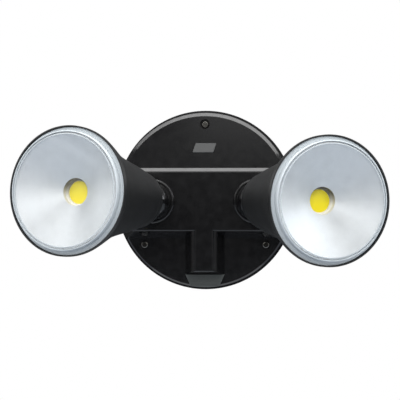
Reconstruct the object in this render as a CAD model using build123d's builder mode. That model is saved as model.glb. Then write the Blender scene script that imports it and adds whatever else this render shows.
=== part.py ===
"""Twin head floodlight for an outside wall: a round base with two LED heads on swivel and tilt joints.

Millimetres. The wall is the plane y = 0 and the light stands out towards -Y, with +Z up and the origin
at the middle of the base's rear face. Heights are distances out from the wall. The two heads are
drawn where they are left in use: turned outwards, the left one a little upwards.
"""
import os
from math import cos, radians, sin, sqrt, tan

from build123d import *

# Round base cover
BASE_R = 75.0
WALL = 2.5
FLAT_H = 13.0
FOOT_W = 1.9
FOOT_T = 2.0
SIDE_DRAFT = 2.0
RIM_BEVEL = 1.3
RIDGE_H = 29.0
SLOPE_TOP_INSET = 2.0
SLOPE_BEVEL = 3.2
BAND_H = 32.0
BAND_HALF = 24.3
BAND_Z = -1.0
STEM_HALF = 9.8
STEM_END_INSET = 16.0
BLOCK_DRAFT = 19.0
BAND_TOP_DRAFT = 45.0
STEM_END_DRAFT = 7.0
BLOCK_EDGE = 1.2
STEM_ROUND = 4.5

# Wall gasket, back plate and cable entry
GASKET_T = 2.0
GASKET_W = 4.4
PLATE_T = 3.0
PLATE_GAP = 1.5
FIXING_SPACING = 84.0
FIXING_R = 2.5
ENTRY_GAP = 2.0
ENTRY_R = 9.0
GROMMET_BORE_R = 4.5
GROMMET_LIP = 2.5
GROMMET_LIP_T = 1.5

# Cover screws on one circle: one at the top, two low at the sides
SCREW_INSET = 12.0
SCREW_ANGLES = (90.0, 216.4, 323.6)
SCREW_R = 1.75
SCREW_HEAD_R = 3.1
SCREW_HEAD_T = 2.0
SCREW_LENGTH = 9.0
CROSS_W = 1.0
CROSS_LENGTH = 3.6
CROSS_DEPTH = 1.3
WELL_R = 4.2
WELL_FLOOR_H = 10.0
POST_H = 8.0
POST_R = 5.5

# Bare badge plate and the blanking cover at the foot of the stem
BADGE_INSET = 32.0
BADGE_L = 17.2
BADGE_W = 8.2
BADGE_SLANT = 2.6
BADGE_T = 1.2
BADGE_SINK = 0.6
BADGE_CORNER = 0.8
PORT_TOP_INSET = 13.2
PORT_TOP_HALF = 16.4
PORT_LOW_HALF = 10.8
PORT_DEPTH = 4.0
PORT_PROUD = 2.2
PORT_EDGE = 0.8
PORT_LIP = 1.5
PORT_LIP_T = 1.6
PORT_RIBS = 4
PORT_RIB_W = 0.8
PORT_RIB_DEPTH = 0.4

# Swivel collars, turning knuckles and what holds them
PIVOT_X = 42.5
PIVOT_H = 43.5
COLLAR_R = 18.2
COLLAR_H = 36.0
COLLAR_EDGE = 1.2
CUP_R = 16.0
CUP_FLOOR_H = 28.0
CUP_FLOOR_T = 3.0
BALL_R = 15.2
FLANGE_TOP_H = 35.5
SPIGOT_R = 8.0
SPIGOT_BORE_R = 4.5
SPIGOT_END_H = 15.0
NUT_FLATS = 24.0
NUT_T = 4.5
WASHER_R = 13.0
WASHER_T = 1.2
SEAL_SECTION_R = 0.95
SEAL_GROOVE_W = 2.4
TICK_L = 3.0
TICK_W = 0.8
TICK_T = 0.6

# Tilt joint
TONGUE_HALF_W = 7.0
TONGUE_HALF_T = 5.0
TILT_MIN = 8.0
TILT_MAX = 60.0
PIN_R = 2.5
PIN_HEAD_R = 4.2
PIN_HEAD_T = 2.4
PIN_SEAT = 11.6
PIN_BITE = 2.2

# Head shell: distances from the tilt pivot along the head's own axis, and setbacks from its rim
SHELL_REAR = 17.0
SHELL_REAR_R = 16.0
SHELL_REAR_T = 3.0
SHOULDER = 30.0
SHOULDER_R = 23.4
SHOULDER_ROUND = 14.0
SHOULDER_LEAN = 14.0
WAIST_SETBACK = 76.0
WAIST_R = 29.4
FLARE_SETBACK = 38.0
FLARE_R = 37.0
RIM = 138.0
RIM_R = 47.9
RIM_LIP_T = 0.9
RIM_BAND = 3.3
RIM_LEAN = 16.4
SHELL_T = 2.4

# Light source and optics
SINK_SETBACK = 21.8
SINK_T = 4.0
SINK_CLEARANCE = 1.75
SINK_HUB_R = 10.0
SINK_FIN_LENGTH = 32.0
SINK_FIN_R = 27.0
SINK_FIN_T = 2.0
SINK_FINS = 8
SINK_SCREW_INSET = 4.5
SINK_POST_R = 4.0
SINK_POST_LENGTH = 14.0
SINK_SCREWS = 3
SINK_SCREW_BITE = 7.0
SMALL_SCREW_R = 1.5
SMALL_HEAD_R = 2.8
SMALL_HEAD_T = 1.6
BOARD_R = 18.0
BOARD_T = 1.6
BOARD_SCREW_CIRCLE_R = 14.5
BOARD_SCREW_BITE = 3.0
EMITTER_R = 8.5
EMITTER_T = 0.8
DAM_W = 0.9
REFLECTOR_R = 41.6
REFLECTOR_PROUD = 2.6
REFLECTOR_DEPTH = 16.0
REFLECTOR_HOLE_R = 10.3
REFLECTOR_T = 0.7
LENS_T = 1.5
LENS_SEAT_W = 0.5
LENS_WALL_T = 1.2
LENS_RECESS = 1.2
LENS_FLANGE_T = 1.3
LENS_FLANGE_SLANT = 0.5
LENS_EDGE = 0.5
LENS_GASKET_T = 0.8

# Lighting leads
LEAD_R = 2.2
LEAD_BEND_R = 20.0
LEAD_OFFSET = 14.0
LEAD_CROSSING = 24.0
LEAD_STRAIGHT = 35.5
DRIVER_LEAD_H = 11.0
DRIVER_LEAD_BEND_R = 7.0
DRIVER_LEAD_END_H = 26.0
GLAND_R = 6.0
GLAND_T = 4.0

# Driver and terminals on the back plate
DRIVER_HALF_X = 26.0
DRIVER_LOW_Z = -14.0
DRIVER_TOP_Z = 22.0
DRIVER_H = 25.0
DRIVER_SPLIT_H = 8.0
DRIVER_WALL = 1.5
DRIVER_EAR = 8.0
DRIVER_EAR_T = 2.0
CIRCUIT_H = 6.0
CIRCUIT_T = 1.6
TRANSFORMER_X = 18.0
TRANSFORMER_Z = 16.0
TRANSFORMER_H = 12.0
CAPACITOR_R = 4.0
CAPACITOR_L = 14.0
CAPACITOR_X = 17.0
CAPACITOR_Z = 9.0
TERMINAL_X = 24.0
TERMINAL_Z = 16.0
TERMINAL_H = 13.0
TERMINAL_MID_Z = -28.5
TERMINAL_WAYS = 3
TERMINAL_PITCH = 7.4
TERMINAL_SCREW_R = 1.8
TERMINAL_SCREW_DEPTH = 6.0
TERMINAL_WIRE_R = 1.7

# Clearances
RUN_FIT = 0.06
RUN_GAP = 0.3
EASY_FIT = 0.2
SEAL_GAP = 0.1
SLOT_GAP = 0.35
SCREW_CLEARANCE = 0.25

# Where the heads are left: side, angle about the collar up from level, angle out from straight ahead
HEADS = {"left": (-1, 8.7, 21.6), "right": (1, 0.4, 24.0)}

# Worked out from the sizes above
OUTWARD = Vector(0, -1, 0)
PROFILE = Plane(origin=(0, 0, 0), x_dir=(1, 0, 0), z_dir=(0, 0, -1))
SIDE = Plane(origin=(0, 0, 0), x_dir=(0, 0, 1), z_dir=(1, 0, 0))
WALL_AXIS = Axis((0, 0, 0), (0, -1, 0))
SLOPE_TOP_Z = BASE_R - SLOPE_TOP_INSET
RIDGE_Z = BAND_Z + BAND_HALF + (BAND_H - RIDGE_H) * tan(radians(BAND_TOP_DRAFT))
SLOPE_RISE = (RIDGE_H - FLAT_H) / (SLOPE_TOP_Z - RIDGE_Z)
STEM_END_Z = STEM_END_INSET - BASE_R
SIDE_R = BASE_R - FOOT_W
PLATE_R = SIDE_R - WALL - PLATE_GAP
GROMMET_LIP_R = ENTRY_R + GROMMET_LIP
ENTRY_Z = TERMINAL_MID_Z - TERMINAL_Z / 2 - ENTRY_GAP - GROMMET_LIP_R
BADGE_Z = BASE_R - BADGE_INSET
PORT_TOP_Z = PORT_TOP_INSET - BASE_R
PIVOT_POINTS = [(-PIVOT_X, BAND_Z), (PIVOT_X, BAND_Z)]
TICK_POINTS = [(COLLAR_R - PIVOT_X, BAND_Z), (PIVOT_X - COLLAR_R, BAND_Z)]
SCREW_CIRCLE_R = BASE_R - SCREW_INSET
SCREW_POINTS = [
    (SCREW_CIRCLE_R * cos(radians(angle)), SCREW_CIRCLE_R * sin(radians(angle))) for angle in SCREW_ANGLES
]
LEAD_BORE_R = LEAD_R + RUN_GAP
FLANGE_BOTTOM_H = CUP_FLOOR_H + RUN_GAP
FLANGE_R = CUP_R - RUN_GAP
SEAL_H = (FLANGE_BOTTOM_H + FLANGE_TOP_H) / 2
SEAL_R = CUP_R - SEAL_GAP - SEAL_SECTION_R
WASHER_TOP_H = CUP_FLOOR_H - CUP_FLOOR_T - SEAL_GAP
NUT_TOP_H = WASHER_TOP_H - WASHER_T
WAIST = RIM - WAIST_SETBACK
FLARE = RIM - FLARE_SETBACK
FLARE_RISE = (RIM_R - FLARE_R) / (FLARE_SETBACK - RIM_BAND)
SINK_FACE = RIM - SINK_SETBACK
SINK_BACK = SINK_FACE - SINK_T
SINK_R = FLARE_R + (SINK_BACK - FLARE) * FLARE_RISE - SHELL_T - SINK_CLEARANCE
SINK_SCREW_CIRCLE_R = SINK_R - SINK_SCREW_INSET
LEAD_MEETS_OFFSET = SINK_FACE - LEAD_STRAIGHT
LEAD_LEAVES_AXIS = LEAD_MEETS_OFFSET - LEAD_CROSSING
BOARD_FACE = SINK_FACE + BOARD_T
REFLECTOR_RIM = RIM + REFLECTOR_PROUD
REFLECTOR_NECK = REFLECTOR_RIM - REFLECTOR_DEPTH
LENS_WALL_R = REFLECTOR_R + REFLECTOR_T + EASY_FIT
LENS_SEAT_R = LENS_WALL_R + LENS_SEAT_W
LENS_STEP_R = LENS_WALL_R + LENS_WALL_T
LENS_FLANGE_R = RIM_R - RIM_LIP_T - EASY_FIT
LENS_BACK = RIM - LENS_RECESS - LENS_FLANGE_T
LENS_INSIDE = REFLECTOR_RIM + SEAL_GAP
LENS_FACE = LENS_INSIDE + LENS_T
SHELL_LEDGE = LENS_BACK - LENS_GASKET_T
LEDGE_R = LENS_WALL_R + EASY_FIT
os.makedirs("parts", exist_ok=True)


def at_height(height):
    """Plane parallel to the wall, this far out from it, with X to the right and Z up in the sketch."""
    return Plane.XZ.offset(height)


def write(piece, name):
    """Names a finished piece and writes its STEP file."""
    piece.part.label = name
    export_step(piece.part, f"parts/{name}.step")


def slope_height(z):
    """Height of the sloped upper face of the cover."""
    return FLAT_H + (SLOPE_TOP_Z - z) * SLOPE_RISE


def slope_plane(z, depth):
    """Plane of the sloped upper face, this far in towards the wall, with its origin at this level."""
    return Plane(origin=(0, depth - slope_height(z), z), x_dir=(1, 0, 0), z_dir=(0, -1, SLOPE_RISE))


def side_radius(height):
    """Radius of the cover's tapering side at this height."""
    return SIDE_R - (height - GASKET_T) * tan(radians(SIDE_DRAFT))


def cover_form(inset, rear):
    """The cover's form as a solid, every face but the rear moved inwards by inset; bevelled if that is 0."""
    flat = FLAT_H - inset
    front = BAND_H - inset
    top = BAND_H + WALL
    side_shift = inset / cos(radians(SIDE_DRAFT))
    rear_r = side_radius(rear) - side_shift
    draft = tan(radians(BLOCK_DRAFT))
    wall_shift = inset / cos(radians(BLOCK_DRAFT))
    slope_drop = inset * sqrt(1 + SLOPE_RISE**2)
    band_low = BAND_HALF + inset * draft - wall_shift
    band_low_rear = band_low + (front - rear) * draft
    top_draft = tan(radians(BAND_TOP_DRAFT))
    band_high = BAND_HALF + inset * top_draft - inset / cos(radians(BAND_TOP_DRAFT))
    band_high_rear = band_high + (front - rear) * top_draft
    stem_front = STEM_HALF + inset * draft - wall_shift
    stem_rear = stem_front + (front - rear) * draft
    stem_end = STEM_END_Z + inset
    stem_foot = stem_end - (front - rear) * tan(radians(STEM_END_DRAFT))
    edge_round = max(BLOCK_EDGE - inset, 0)
    with BuildPart() as taper:
        with BuildSketch(PROFILE):
            Polygon((0, rear), (rear_r, rear), (side_radius(top) - side_shift, top), (0, top), align=None)
        revolve(axis=WALL_AXIS)
    with BuildPart() as stem:
        with BuildSketch(SIDE) as stem_side:
            Polygon((0, rear), (0, front), (stem_end, front), (stem_foot, rear), align=None)
            if edge_round:
                fillet(stem_side.vertices().group_by(Axis.Y)[-1].sort_by(Axis.X)[0], radius=edge_round)
        extrude(amount=BASE_R, both=True)
        with BuildSketch(PROFILE) as stem_section:
            Polygon(
                (-stem_rear, rear),
                (-stem_front, front),
                (stem_front, front),
                (stem_rear, rear),
                align=None,
            )
            fillet(stem_section.vertices().group_by(Axis.Y)[-1], radius=STEM_ROUND - inset)
        extrude(amount=BASE_R, both=True, mode=Mode.INTERSECT)
    with BuildPart() as raised:
        with BuildSketch(SIDE) as band_section:
            Polygon(
                (BAND_Z - band_low_rear, rear),
                (BAND_Z - band_low, front),
                (BAND_Z + band_high, front),
                (BAND_Z + band_high_rear, rear),
                align=None,
            )
            if edge_round:
                fillet(band_section.vertices().group_by(Axis.Y)[-1], radius=edge_round)
        extrude(amount=BASE_R, both=True)
        add(stem.part)
        add(taper.part, mode=Mode.INTERSECT)
    with BuildPart() as form:
        with BuildSketch(SIDE):
            Polygon(
                (0, rear),
                (0, RIDGE_H - slope_drop),
                (RIDGE_Z, RIDGE_H - slope_drop),
                (SLOPE_TOP_Z, FLAT_H - slope_drop),
                (SLOPE_TOP_Z, rear),
                align=None,
            )
        extrude(amount=BASE_R, both=True)
        add(taper.part, mode=Mode.INTERSECT)
        with BuildSketch(PROFILE) as disc_section:
            Polygon((0, rear), (rear_r, rear), (side_radius(flat) - side_shift, flat), (0, flat), align=None)
            if inset == 0:
                chamfer(disc_section.vertices().group_by(Axis.Y)[-1].sort_by(Axis.X)[-1], length=RIM_BEVEL)
        revolve(axis=WALL_AXIS)
        if inset == 0:
            for depth in (0, BASE_R):
                bevel_r = SIDE_R - SLOPE_BEVEL + depth
                with BuildSketch(slope_plane(0, depth)):
                    Ellipse(bevel_r, bevel_r * sqrt(1 + SLOPE_RISE**2))
            loft(ruled=True, mode=Mode.INTERSECT)
        add(raised.part)
    return form.part


def port_outline(height, grow, foot_r):
    """Outline of the blanking cover: straight top and sides, with a round foot."""
    low_half = PORT_LOW_HALF + grow
    low_z = -sqrt(foot_r**2 - low_half**2)
    top_half = PORT_TOP_HALF + grow
    top_z = PORT_TOP_Z + grow
    with BuildSketch(at_height(height)) as outline:
        with BuildLine():
            Polyline((-low_half, low_z), (-top_half, top_z), (top_half, top_z), (low_half, low_z))
            ThreePointArc((low_half, low_z), (0, -foot_r), (-low_half, low_z))
        make_face()
    return outline.sketch


def badge_outline(plane, grow):
    """Slanted outline of the badge plate with rounded corners."""
    half_l = BADGE_L / 2 + grow
    half_w = BADGE_W / 2 + grow
    half_slant = BADGE_SLANT / 2
    with BuildSketch(plane) as outline:
        Polygon(
            (-half_l - half_slant, -half_w),
            (half_l - half_slant, -half_w),
            (half_l + half_slant, half_w),
            (-half_l + half_slant, half_w),
            align=None,
        )
        fillet(outline.vertices(), radius=BADGE_CORNER)
    return outline.sketch


def cross_outline(plane, points):
    """Cross-shaped driver recesses of screw heads, on the plane of their tops."""
    with BuildSketch(plane) as outline:
        with Locations(*points):
            Rectangle(CROSS_LENGTH, CROSS_W)
            Rectangle(CROSS_W, CROSS_LENGTH)
    return outline.sketch


# Collar on the cover for each head
with BuildPart() as collars:
    with BuildSketch(at_height(CUP_FLOOR_H - CUP_FLOOR_T)):
        with Locations(*PIVOT_POINTS):
            Circle(COLLAR_R)
    extrude(amount=COLLAR_H - CUP_FLOOR_H + CUP_FLOOR_T)
    fillet(collars.faces().group_by(Axis.Y)[0].edges(), radius=COLLAR_EDGE)
    with BuildSketch(at_height(BAND_H)):
        with Locations(*TICK_POINTS):
            Rectangle(TICK_L, TICK_W)
    extrude(amount=TICK_T)

SLOPE_FACE = slope_plane(BADGE_Z, 0)

# Round cover: a thin moulded shell with the T-shaped block, two collars and three screw wells
with BuildPart() as base_cover:
    add(cover_form(0, GASKET_T))
    with BuildSketch(at_height(GASKET_T)):
        Circle(BASE_R)
    extrude(amount=FOOT_T)
    add(cover_form(WALL, GASKET_T - WALL), mode=Mode.SUBTRACT)
    add(collars.part)
    with BuildSketch(at_height(POST_H)):
        with Locations(*SCREW_POINTS):
            Circle(POST_R)
    extrude(amount=FLAT_H - POST_H - WALL / 4)
    with BuildSketch(at_height(CUP_FLOOR_H)):
        with Locations(*PIVOT_POINTS):
            Circle(CUP_R)
    extrude(amount=COLLAR_H, mode=Mode.SUBTRACT)
    with BuildSketch(at_height(CUP_FLOOR_H - 2 * CUP_FLOOR_T)):
        with Locations(*PIVOT_POINTS):
            Circle(SPIGOT_R + RUN_FIT)
    extrude(amount=3 * CUP_FLOOR_T, mode=Mode.SUBTRACT)
    with BuildSketch(at_height(WELL_FLOOR_H)):
        with Locations(*SCREW_POINTS):
            Circle(WELL_R)
    extrude(amount=FLAT_H, mode=Mode.SUBTRACT)
    with BuildSketch(at_height(POST_H - WALL)):
        with Locations(*SCREW_POINTS):
            Circle(SCREW_R + SCREW_CLEARANCE)
    extrude(amount=FLAT_H, mode=Mode.SUBTRACT)
    port_hole = port_outline(FLAT_H - PORT_DEPTH, EASY_FIT, BASE_R)
    extrude(port_hole, amount=PORT_DEPTH, mode=Mode.SUBTRACT)
    extrude(badge_outline(SLOPE_FACE, EASY_FIT), amount=-BADGE_SINK, mode=Mode.SUBTRACT)
write(base_cover, "base_cover")

# Foam gasket under the edge of the cover
with BuildPart() as wall_gasket:
    with BuildSketch(at_height(0)):
        Circle(PLATE_R + EASY_FIT + GASKET_W)
        Circle(PLATE_R + EASY_FIT, mode=Mode.SUBTRACT)
    extrude(amount=GASKET_T)
write(wall_gasket, "wall_gasket")

# Back plate: fixing holes, cable entry, screw posts for the cover
DRIVER_EAR_X = DRIVER_HALF_X + DRIVER_EAR / 2
DRIVER_MID_Z = (DRIVER_LOW_Z + DRIVER_TOP_Z) / 2
with BuildPart() as back_plate:
    with BuildSketch(at_height(0)):
        Circle(PLATE_R)
        with GridLocations(FIXING_SPACING, 0, 2, 1):
            Circle(FIXING_R, mode=Mode.SUBTRACT)
        with Locations((0, ENTRY_Z)):
            Circle(ENTRY_R, mode=Mode.SUBTRACT)
    extrude(amount=PLATE_T)
    with BuildSketch(at_height(0)):
        with Locations((0, ENTRY_Z)):
            Circle(GROMMET_LIP_R + EASY_FIT)
    extrude(amount=GROMMET_LIP_T + EASY_FIT, mode=Mode.SUBTRACT)
    with BuildSketch(at_height(PLATE_T)):
        with Locations(*SCREW_POINTS):
            Circle(POST_R)
    extrude(amount=POST_H - PLATE_T)
    with BuildSketch(at_height(WELL_FLOOR_H - SCREW_LENGTH)):
        with Locations(*SCREW_POINTS):
            Circle(SCREW_R)
    extrude(amount=SCREW_LENGTH, mode=Mode.SUBTRACT)
    with BuildSketch(at_height(PLATE_T / 4)):
        with GridLocations(2 * DRIVER_EAR_X, 0, 2, 1):
            with Locations((0, DRIVER_MID_Z)):
                Circle(SMALL_SCREW_R)
    extrude(amount=PLATE_T, mode=Mode.SUBTRACT)
write(back_plate, "back_plate")

# Rubber grommet in the cable entry, flush with the back of the plate
with BuildPart() as entry_grommet:
    with BuildSketch(at_height(EASY_FIT)):
        with Locations((0, ENTRY_Z)):
            Circle(GROMMET_LIP_R)
    extrude(amount=GROMMET_LIP_T)
    with BuildSketch(at_height(EASY_FIT)):
        with Locations((0, ENTRY_Z)):
            Circle(ENTRY_R - SEAL_GAP)
    extrude(amount=PLATE_T)
    with BuildSketch(at_height(PLATE_T)):
        with Locations((0, ENTRY_Z)):
            Circle(GROMMET_LIP_R)
    extrude(amount=GROMMET_LIP_T)
    with BuildSketch(at_height(EASY_FIT)):
        with Locations((0, ENTRY_Z)):
            Circle(GROMMET_BORE_R)
    extrude(amount=PLATE_T + 2 * GROMMET_LIP_T, mode=Mode.SUBTRACT)
write(entry_grommet, "entry_grommet")

# Three cross-head screws that hold the cover to the back plate
with BuildPart() as cover_screws:
    with BuildSketch(at_height(WELL_FLOOR_H - SCREW_LENGTH)):
        with Locations(*SCREW_POINTS):
            Circle(SCREW_R)
    extrude(amount=SCREW_LENGTH)
    with BuildSketch(at_height(WELL_FLOOR_H)):
        with Locations(*SCREW_POINTS):
            Circle(SCREW_HEAD_R)
    extrude(amount=SCREW_HEAD_T)
    fillet(cover_screws.faces().group_by(Axis.Y)[0].edges(), radius=SCREW_HEAD_T / 2)
    crosses = cross_outline(at_height(WELL_FLOOR_H + SCREW_HEAD_T), SCREW_POINTS)
    extrude(crosses, amount=-CROSS_DEPTH, mode=Mode.SUBTRACT)
write(cover_screws, "cover_screws")

# Bare badge plate, let into the sloped face
with BuildPart() as badge_plate:
    extrude(badge_outline(SLOPE_FACE.offset(-BADGE_SINK), 0), amount=BADGE_T)
    badge_front = badge_plate.faces().sort_by(Axis(SLOPE_FACE.origin, SLOPE_FACE.z_dir))[-1]
    chamfer(badge_front.edges(), length=BADGE_T / 4)
write(badge_plate, "badge_plate")

# Blanking cover of the port at the foot of the stem: its foot follows the rim, with a lip behind the wall
PORT_REAR_H = FLAT_H - PORT_DEPTH
PORT_FACE_H = FLAT_H + PORT_PROUD
PORT_LIP_FOOT_R = side_radius(FLAT_H) - WALL - 2 * EASY_FIT
with BuildPart() as port_cover:
    extrude(port_outline(PORT_REAR_H, 0, BASE_R), amount=PORT_FACE_H - PORT_REAR_H)
    with BuildSketch(PROFILE):
        Polygon(
            (0, PORT_REAR_H),
            (side_radius(PORT_REAR_H), PORT_REAR_H),
            (side_radius(PORT_FACE_H), PORT_FACE_H),
            (0, PORT_FACE_H),
            align=None,
        )
    revolve(axis=WALL_AXIS, mode=Mode.INTERSECT)
    fillet(port_cover.faces().sort_by(Axis.Y)[0].edges(), radius=PORT_EDGE)
    extrude(port_outline(FLAT_H - WALL, PORT_LIP, PORT_LIP_FOOT_R), amount=-PORT_LIP_T)
    rib_step = (PORT_TOP_Z + side_radius(PORT_FACE_H)) / (PORT_RIBS + 1)
    for rib in range(1, PORT_RIBS + 1):
        with BuildSketch(at_height(PORT_FACE_H)):
            with Locations((0, PORT_TOP_Z - rib * rib_step)):
                Rectangle(2 * PORT_TOP_HALF, PORT_RIB_W)
        extrude(amount=-PORT_RIB_DEPTH, mode=Mode.SUBTRACT)
write(port_cover, "port_cover")

# Driver tray on the back plate, with an ear at each end
DRIVER_SIZE_X = 2 * DRIVER_HALF_X
DRIVER_SIZE_Z = DRIVER_TOP_Z - DRIVER_LOW_Z
DRIVER_MID = (0, DRIVER_MID_Z)
DRIVER_EARS = [(-DRIVER_EAR_X, DRIVER_MID_Z), (DRIVER_EAR_X, DRIVER_MID_Z)]
with BuildPart() as driver_tray:
    with BuildSketch(at_height(PLATE_T)):
        with Locations(DRIVER_MID):
            Rectangle(DRIVER_SIZE_X, DRIVER_SIZE_Z)
    extrude(amount=DRIVER_SPLIT_H - PLATE_T)
    with BuildSketch(at_height(PLATE_T)):
        with Locations(DRIVER_MID):
            Rectangle(DRIVER_SIZE_X + 2 * DRIVER_EAR, DRIVER_EAR)
    extrude(amount=DRIVER_EAR_T)
    with BuildSketch(at_height(CIRCUIT_H)):
        with Locations(DRIVER_MID):
            Rectangle(DRIVER_SIZE_X - 2 * DRIVER_WALL, DRIVER_SIZE_Z - 2 * DRIVER_WALL)
    extrude(amount=DRIVER_SPLIT_H, mode=Mode.SUBTRACT)
    with BuildSketch(at_height(PLATE_T)):
        with Locations(*DRIVER_EARS):
            Circle(SMALL_SCREW_R + SCREW_CLEARANCE)
    extrude(amount=DRIVER_EAR_T, mode=Mode.SUBTRACT)
write(driver_tray, "driver_tray")

# Driver lid: a box that closes the tray, with a hole for each lighting lead
with BuildPart() as driver_lid:
    with BuildSketch(at_height(DRIVER_SPLIT_H)):
        with Locations(DRIVER_MID):
            Rectangle(DRIVER_SIZE_X, DRIVER_SIZE_Z)
    extrude(amount=DRIVER_H - DRIVER_SPLIT_H)
    fillet(driver_lid.edges().group_by(Axis.Y)[0], radius=DRIVER_WALL / 2)
    with BuildSketch(at_height(DRIVER_SPLIT_H)):
        with Locations(DRIVER_MID):
            Rectangle(DRIVER_SIZE_X - 2 * DRIVER_WALL, DRIVER_SIZE_Z - 2 * DRIVER_WALL)
    extrude(amount=DRIVER_H - DRIVER_SPLIT_H - DRIVER_WALL, mode=Mode.SUBTRACT)
    with BuildSketch(SIDE):
        with Locations((BAND_Z, DRIVER_LEAD_H)):
            Circle(LEAD_R + SEAL_GAP)
    extrude(amount=DRIVER_HALF_X, both=True, mode=Mode.SUBTRACT)
write(driver_lid, "driver_lid")

# Driver circuit board with its transformer and two capacitors
CIRCUIT_TOP_H = CIRCUIT_H + CIRCUIT_T
BOARD_MARGIN = 2 * (DRIVER_WALL + EASY_FIT)
with BuildPart() as driver_board:
    with BuildSketch(at_height(CIRCUIT_H)):
        with Locations(DRIVER_MID):
            Rectangle(DRIVER_SIZE_X - BOARD_MARGIN, DRIVER_SIZE_Z - BOARD_MARGIN)
    extrude(amount=CIRCUIT_T)
write(driver_board, "driver_board")

with BuildPart() as driver_transformer:
    with BuildSketch(at_height(CIRCUIT_TOP_H)):
        with Locations(DRIVER_MID):
            Rectangle(TRANSFORMER_X, TRANSFORMER_Z)
    extrude(amount=TRANSFORMER_H)
    chamfer(driver_transformer.edges().filter_by(Axis.Y), length=TRANSFORMER_H / 8)
write(driver_transformer, "driver_transformer")

with BuildPart() as driver_capacitors:
    with BuildSketch(at_height(CIRCUIT_TOP_H)):
        with Locations(
            (-CAPACITOR_X, DRIVER_MID_Z + CAPACITOR_Z), (CAPACITOR_X, DRIVER_MID_Z - CAPACITOR_Z)
        ):
            Circle(CAPACITOR_R)
    extrude(amount=CAPACITOR_L)
    fillet(driver_capacitors.faces().group_by(Axis.Y)[0].edges(), radius=CAPACITOR_R / 6)
write(driver_capacitors, "driver_capacitors")

# Two screws through the tray's ears into the back plate
with BuildPart() as driver_screws:
    with BuildSketch(at_height(PLATE_T / 4)):
        with Locations(*DRIVER_EARS):
            Circle(SMALL_SCREW_R)
    extrude(amount=PLATE_T * 3 / 4 + DRIVER_EAR_T)
    with BuildSketch(at_height(PLATE_T + DRIVER_EAR_T)):
        with Locations(*DRIVER_EARS):
            Circle(SMALL_HEAD_R)
    extrude(amount=SMALL_HEAD_T)
write(driver_screws, "driver_screws")

# Terminal block for the supply wires, with a clamping screw for each way
TERMINAL_POINTS = [
    ((way - (TERMINAL_WAYS - 1) / 2) * TERMINAL_PITCH, TERMINAL_MID_Z) for way in range(TERMINAL_WAYS)
]
TERMINAL_TOP_H = PLATE_T + TERMINAL_H
with BuildPart() as terminal_block:
    with BuildSketch(at_height(PLATE_T)):
        with Locations((0, TERMINAL_MID_Z)):
            Rectangle(TERMINAL_X, TERMINAL_Z)
    extrude(amount=TERMINAL_H)
    with BuildSketch(at_height(TERMINAL_TOP_H)):
        with Locations(*TERMINAL_POINTS):
            Circle(TERMINAL_SCREW_R + EASY_FIT)
    extrude(amount=-TERMINAL_SCREW_DEPTH, mode=Mode.SUBTRACT)
    with BuildSketch(Plane.XY.offset(TERMINAL_MID_Z - TERMINAL_Z / 2)):
        for x, z in TERMINAL_POINTS:
            with Locations((x, -PLATE_T - TERMINAL_H / 3)):
                Circle(TERMINAL_WIRE_R)
    extrude(amount=TERMINAL_Z, mode=Mode.SUBTRACT)
write(terminal_block, "terminal_block")

with BuildPart() as terminal_screws:
    with BuildSketch(at_height(TERMINAL_TOP_H - TERMINAL_SCREW_DEPTH)):
        with Locations(*TERMINAL_POINTS):
            Circle(TERMINAL_SCREW_R)
    extrude(amount=TERMINAL_SCREW_DEPTH * 3 / 4)
write(terminal_screws, "terminal_screws")


class HeadFrame:
    """Where one head stands: its pivot, its axis and the planes that its pieces are drawn on."""

    def __init__(self, side, pan, tilt):
        pan = radians(pan)
        tilt = radians(tilt)
        self.side = side
        self.pivot = Vector(side * PIVOT_X, -PIVOT_H, BAND_Z)
        self.out = Vector(side * cos(pan), 0, sin(pan))
        self.axis_dir = OUTWARD * cos(tilt) + self.out * sin(tilt)
        self.across = self.out * cos(tilt) - OUTWARD * sin(tilt)
        self.collar_axis = Axis(self.pivot, OUTWARD)
        self.head_axis = Axis(self.pivot, self.axis_dir)
        self.collar_side = Plane(self.pivot, x_dir=self.out, z_dir=self.out.cross(OUTWARD))
        self.head_side = Plane(self.pivot, x_dir=self.across, z_dir=self.across.cross(self.axis_dir))

    def collar(self, height):
        """Plane across the collar's axis at this height, with the tilt direction along its X."""
        return Plane(self.pivot + OUTWARD * (height - PIVOT_H), x_dir=self.out, z_dir=OUTWARD)

    def head(self, distance):
        """Plane across the head's axis at this distance from the pivot, with the pin along its Y."""
        return Plane(self.pivot + self.axis_dir * distance, x_dir=self.across, z_dir=self.axis_dir)


def shell_outline(plane, inset, rear, front, front_r):
    """Half outline of the head's bell from its axis: a rounded rear, then one smooth flare."""
    shoulder_lean = radians(SHOULDER_LEAN)
    rim_lean = radians(RIM_LEAN)
    with BuildSketch(plane) as outline:
        with BuildLine():
            Line((0, rear), (SHELL_REAR_R - inset, rear))
            RadiusArc((SHELL_REAR_R - inset, rear), (SHOULDER_R - inset, SHOULDER), -SHOULDER_ROUND)
            Spline(
                (SHOULDER_R - inset, SHOULDER),
                (WAIST_R - inset, WAIST),
                (FLARE_R - inset, FLARE),
                (front_r, front),
                tangents=((sin(shoulder_lean), cos(shoulder_lean)), (sin(rim_lean), cos(rim_lean))),
            )
            Polyline((front_r, front), (front_r, RIM), (0, RIM), (0, rear))
        make_face()
    return outline.sketch


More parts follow.
